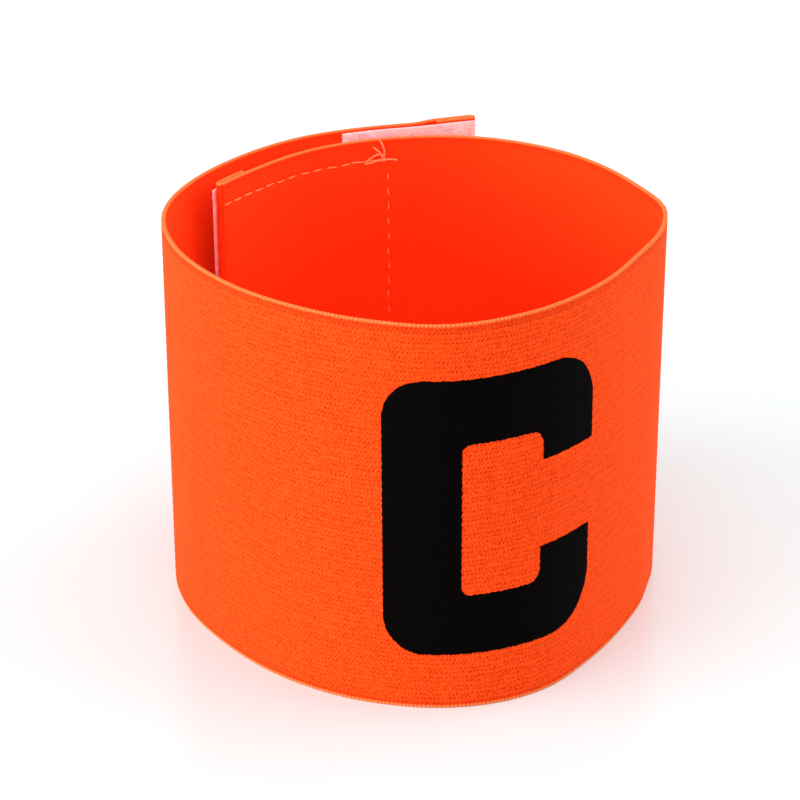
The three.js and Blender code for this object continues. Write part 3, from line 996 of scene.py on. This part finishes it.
# %% Sewing thread, nylon hooks and brushed pile
def strand_material(name, light, deep, twist, roughness, specular, **more):
    """A yarn or wire: its field carries millimetres along it and turns round it, so their
    sum draws the twist, as slanting bands."""
    material, tree, shader = new_material(name, roughness, specular, **more)
    field = add_node(tree, "ShaderNodeAttribute", attribute_name="yarn").outputs["Vector"]
    along, around, _ = add_node(tree, "ShaderNodeSeparateXYZ", {0: field}).outputs
    lay = wave(tree, calculate(tree, "MULTIPLY_ADD", along, 1 / twist, around))
    share = rescale(tree, lay, -1.0, 1.0)
    bump = add_node(tree, "ShaderNodeBump", {"Strength": 0.4, "Distance": 0.03 * MM, "Height": share})
    feed(tree, shader, base_color=blend(tree, share, deep, light), normal=bump.outputs[0])
    return material


woven = weave_material()
sewing = strand_material("spun_sewing_thread", "FF9C6C", "EE7444", 0.5, 0.7, 0.15)
bobbin = strand_material("pink_bobbin_thread", "FBB0AC", "F2948E", 0.5, 0.7, 0.15)
nylon = strand_material("bare_nylon_hook", "FBB8B4", "F6A6A2", 1.0, 0.45, 0.25)
soft = strand_material("brushed_nylon_pile", "F9A69E", "EE8579", 0.4, 0.9, 0.1, sheen_weight=0.1)
for piece, material in (
    (loop_tape, woven), (hook_tape, woven), (hooks, nylon), (pile, soft),
    (loop_stitches, sewing), (hook_stitches, sewing), (loose_ends, sewing),
    (loop_bobbin, bobbin), (hook_bobbin, bobbin),
):
    coat(piece, material)

# %% [markdown]
# ## Floor and light
#
# The armband stands on a white table in a white room: light comes from everywhere, so the
# shade is soft and lies only where the cloth meets the table, tinted by the orange that it
# throws back, and the table's hard coating mirrors the cloth a little. Two lamps as wide as
# windows stand low at the sides, the left one brighter, so both sides of the loop are paler
# than the middle of its front. A third and weaker one stands high in front, and reaches the
# inside of the loop over its rim.

# %% The white table and the soft light
def floor_piece():
    """One square, six metres wide, at the height where the armband stands."""
    half = 3000.0
    corners = np.array([(-half, -half, 0), (half, -half, 0), (half, half, 0), (-half, half, 0)])
    return add_piece("white_table", corners, [np.array([[0, 1, 2, 3]])])


floor = floor_piece()
table, tree, shader = new_material("white_laminate_table", 0.22, 0.5)
place = add_node(tree, "ShaderNodeTexCoord").outputs["Object"]
mottle = add_node(tree, "ShaderNodeTexNoise", {"Vector": place, "Scale": 3.0})
feed(tree, shader, base_color=blend(tree, mottle.outputs[0], "D9E0E1", "DBE2E3"))
coat(floor, table)

world = bpy.data.worlds.new("white_room")
bpy.context.scene.world = world
world.use_nodes = True
sky = world.node_tree.nodes["Background"]
sky.inputs["Color"].default_value = (1, 1, 1, 1)
sky.inputs["Strength"].default_value = 1.0


LAMP_WIDTH, LAMP_HEIGHT, LAMP_DISTANCE = 1.5, 0.7, 1.2  # metres


def softbox(name, bearing_degrees, height, energy):
    """A lamp as wide as a window, at a bearing, with its middle at a height, aimed at the
    middle of the armband."""
    lamp = bpy.data.objects.new(name, bpy.data.lights.new(name, "AREA"))
    bpy.context.scene.collection.objects.link(lamp)
    lamp.data.shape, lamp.data.energy = "RECTANGLE", energy
    lamp.data.size, lamp.data.size_y = LAMP_WIDTH, LAMP_HEIGHT
    way = math.radians(bearing_degrees)
    lamp.location = (LAMP_DISTANCE * math.cos(way), LAMP_DISTANCE * math.sin(way), height)
    turned = (Vector((0, 0, 0.03)) - lamp.location).to_track_quat("-Z", "Y")
    lamp.rotation_euler = turned.to_euler()
    print(f"{name}: {energy:.0f} W, {height:.2f} m high")


softbox("left_softbox", -160, 0.22, 28.0)
softbox("right_softbox", 12, 0.45, 11.0)
softbox("front_softbox", -95, 1.0, 5.0)

# Fluorescent orange is far outside what a film curve would keep, so the plain one is used.
bpy.context.scene.view_settings.view_transform = "Standard"

# %% [markdown]
# ## What each piece belongs to
#
# Nothing on the armband is a joint: cloth bends everywhere. So every piece rides on the one
# body. The strip, the letter and the two backings each replace a solid of the imported model.
# The other pieces are details that it doesn't have.

# %% Ride and replace
for piece, slot, nodes in (
    (band, "elastic", ["elastic_band"]),
    (letter, "print", ["captain_letter"]),
    (loop_tape, "loop_pile", ["loop_tape"]),
    (hook_tape, "hook_tape", ["hook_tape"]),
    (pile, "loop_pile", []),
    (hooks, "hook_tape", []),
    (loop_stitches, "loop_pile", []),
    (hook_stitches, "loop_pile", []),
    (loop_bobbin, "loop_pile", []),
    (hook_bobbin, "hook_tape", []),
    (loose_ends, "loop_pile", []),
):
    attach(piece, "root")
    if nodes:
        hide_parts(*nodes)
